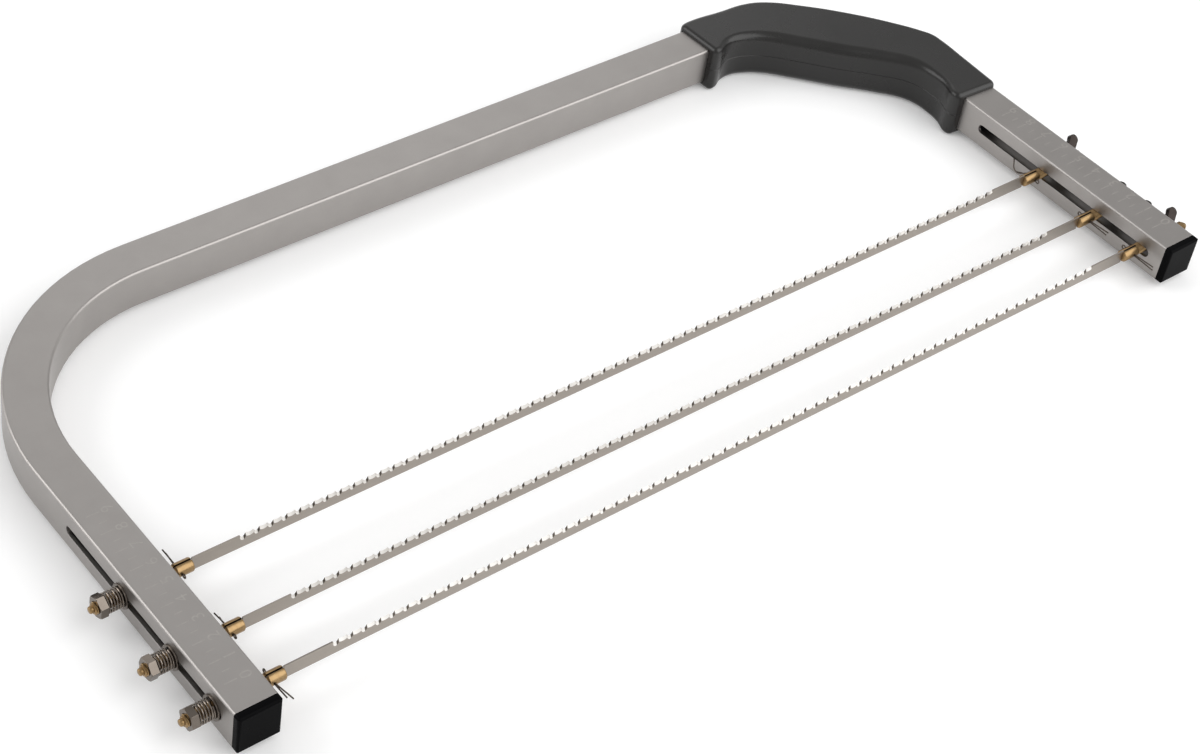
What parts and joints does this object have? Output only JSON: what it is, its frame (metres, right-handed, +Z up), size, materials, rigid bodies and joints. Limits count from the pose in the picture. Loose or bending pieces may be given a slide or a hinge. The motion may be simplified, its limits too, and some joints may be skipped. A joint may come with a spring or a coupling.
{
  "type": "cake leveler",
  "caption": "Bow-shaped hand cake leveler of bent square tube, with parallel serrated blades whose height and tension adjust, a corner handle and feet on the arm ends.",
  "frame": {"origin": "below the middle of the whole tool, on the plane of the handle's underside", "axes": "+X along the blades towards the handle's arm, +Y from the two feet to the back of the bow, +Z up out of the worktop that the tool lies on"},
  "size_m": [0.5132, 0.2306, 0.023],
  "materials": {
    "bow_aluminium": "bead-blasted and clear anodised, satin",
    "handle_plastic": "moulded, fine satin grain",
    "cap_plastic": "moulded, smooth satin",
    "screw_steel": "zinc plated",
    "blade_steel": "rolled stainless strip, bright ground bevel",
    "rod_brass": "turned, bright",
    "pin_wire": "drawn wire, plated",
    "washer_steel": "nickel plated",
    "spring_wire": "nickel plated spring wire",
    "nut_steel": "nickel plated",
    "wing_nut_steel": "cast and nickel plated"
  },
  "bodies": {
    "bow": {"frame_tube": "bow_aluminium", "handle_upper_shell": "handle_plastic", "handle_lower_shell": "handle_plastic", "handle_screws": "screw_steel", "end_cap_left": "cap_plastic", "end_cap_right": "cap_plastic"},
    "carriage_1": {"spring_washer_1": "washer_steel", "spring_1": "spring_wire", "clamp_washer_1": "washer_steel"},
    "wing_1": {"wing_nut_1": "wing_nut_steel"},
    "blade_set_1": {"blade_1": "blade_steel", "tension_rod_1": "rod_brass", "clamp_rod_1": "rod_brass", "split_pin_left_1": "pin_wire", "split_pin_right_1": "pin_wire", "hex_nut_1": "nut_steel"},
    "carriage_2": {"spring_washer_2": "washer_steel", "spring_2": "spring_wire", "clamp_washer_2": "washer_steel"},
    "wing_2": {"wing_nut_2": "wing_nut_steel"},
    "blade_set_2": {"blade_2": "blade_steel", "tension_rod_2": "rod_brass", "clamp_rod_2": "rod_brass", "split_pin_left_2": "pin_wire", "split_pin_right_2": "pin_wire", "hex_nut_2": "nut_steel"},
    "carriage_3": {"spring_washer_3": "washer_steel", "spring_3": "spring_wire", "clamp_washer_3": "washer_steel"},
    "wing_3": {"wing_nut_3": "wing_nut_steel"},
    "blade_set_3": {"blade_3": "blade_steel", "tension_rod_3": "rod_brass", "clamp_rod_3": "rod_brass", "split_pin_left_3": "pin_wire", "split_pin_right_3": "pin_wire", "hex_nut_3": "nut_steel"}
  },
  "joints": [
    {"name": "blade_1_height", "type": "slide", "parent": "bow", "child": "carriage_1", "axis": [0, 1, 0], "range_m": [-0.0108, 0.0348]},
    {"name": "wing_nut_1_turn", "type": "hinge", "parent": "carriage_1", "child": "wing_1", "pos_m": [0.2454, -0.041, 0.0115], "axis": [1, 0, 0], "range_deg": [-740, 1460]},
    {"name": "blade_1_tension", "type": "slide", "parent": "carriage_1", "child": "blade_set_1", "axis": [1, 0, 0], "range_m": [-0.0032, 0.0016], "deforming": ["spring_1"]},
    {"name": "blade_2_height", "type": "slide", "parent": "bow", "child": "carriage_2", "axis": [0, 1, 0], "range_m": [-0.0038, 0.0108]},
    {"name": "wing_nut_2_turn", "type": "hinge", "parent": "carriage_2", "child": "wing_2", "pos_m": [0.2454, -0.0738, 0.0115], "axis": [1, 0, 0], "range_deg": [-740, 1460]},
    {"name": "blade_2_tension", "type": "slide", "parent": "carriage_2", "child": "blade_set_2", "axis": [1, 0, 0], "range_m": [-0.0032, 0.0016], "deforming": ["spring_2"]},
    {"name": "blade_3_height", "type": "slide", "parent": "bow", "child": "carriage_3", "axis": [0, 1, 0], "range_m": [-0.0022, 0.0038]},
    {"name": "wing_nut_3_turn", "type": "hinge", "parent": "carriage_3", "child": "wing_3", "pos_m": [0.2454, -0.0996, 0.0115], "axis": [1, 0, 0], "range_deg": [-740, 1460]},
    {"name": "blade_3_tension", "type": "slide", "parent": "carriage_3", "child": "blade_set_3", "axis": [1, 0, 0], "range_m": [-0.0032, 0.0016], "deforming": ["spring_3"]}
  ],
  "couplings": [
    {"joint": "wing_nut_1_turn", "follows": "blade_1_tension", "rad_per_m": -7854},
    {"joint": "wing_nut_2_turn", "follows": "blade_2_tension", "rad_per_m": -7854},
    {"joint": "wing_nut_3_turn", "follows": "blade_3_tension", "rad_per_m": -7854}
  ]
}
